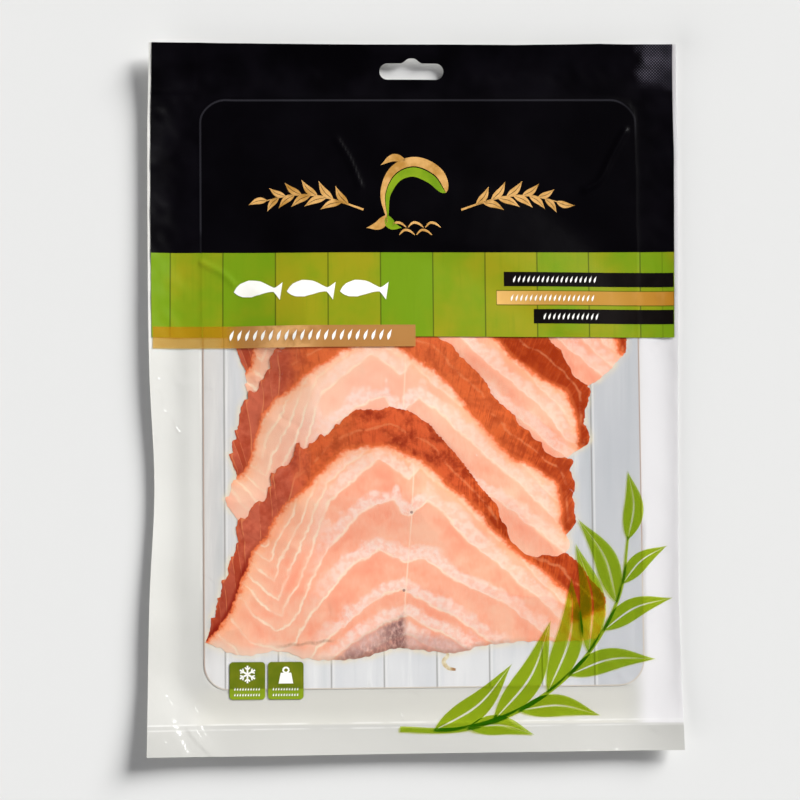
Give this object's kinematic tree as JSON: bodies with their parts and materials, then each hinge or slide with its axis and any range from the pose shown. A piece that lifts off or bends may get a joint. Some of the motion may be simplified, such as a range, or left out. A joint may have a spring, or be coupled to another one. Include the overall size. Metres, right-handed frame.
{
  "type": "pack of smoked salmon",
  "caption": "Flat vacuum pouch of sliced smoked salmon on a stiff card, with a clear window, a dark printed header and a hang slot.",
  "frame": {"origin": "middle of the flat back of the pouch, where it rests", "axes": "+Z out of the printed front face, +Y along the pouch towards the header and its hang slot, +X to the right of the printed face"},
  "size_m": [0.21, 0.282, 0.0095],
  "materials": {
    "film": "glossy clear and white pouch film",
    "print": "glossy dark header print under film",
    "card": "white-washed plank print on board, under film",
    "fish": "moist pink-orange flesh with a smoked orange-brown rim"
  },
  "bodies": {
    "root": {"pouch": "film"}
  },
  "joints": []
}
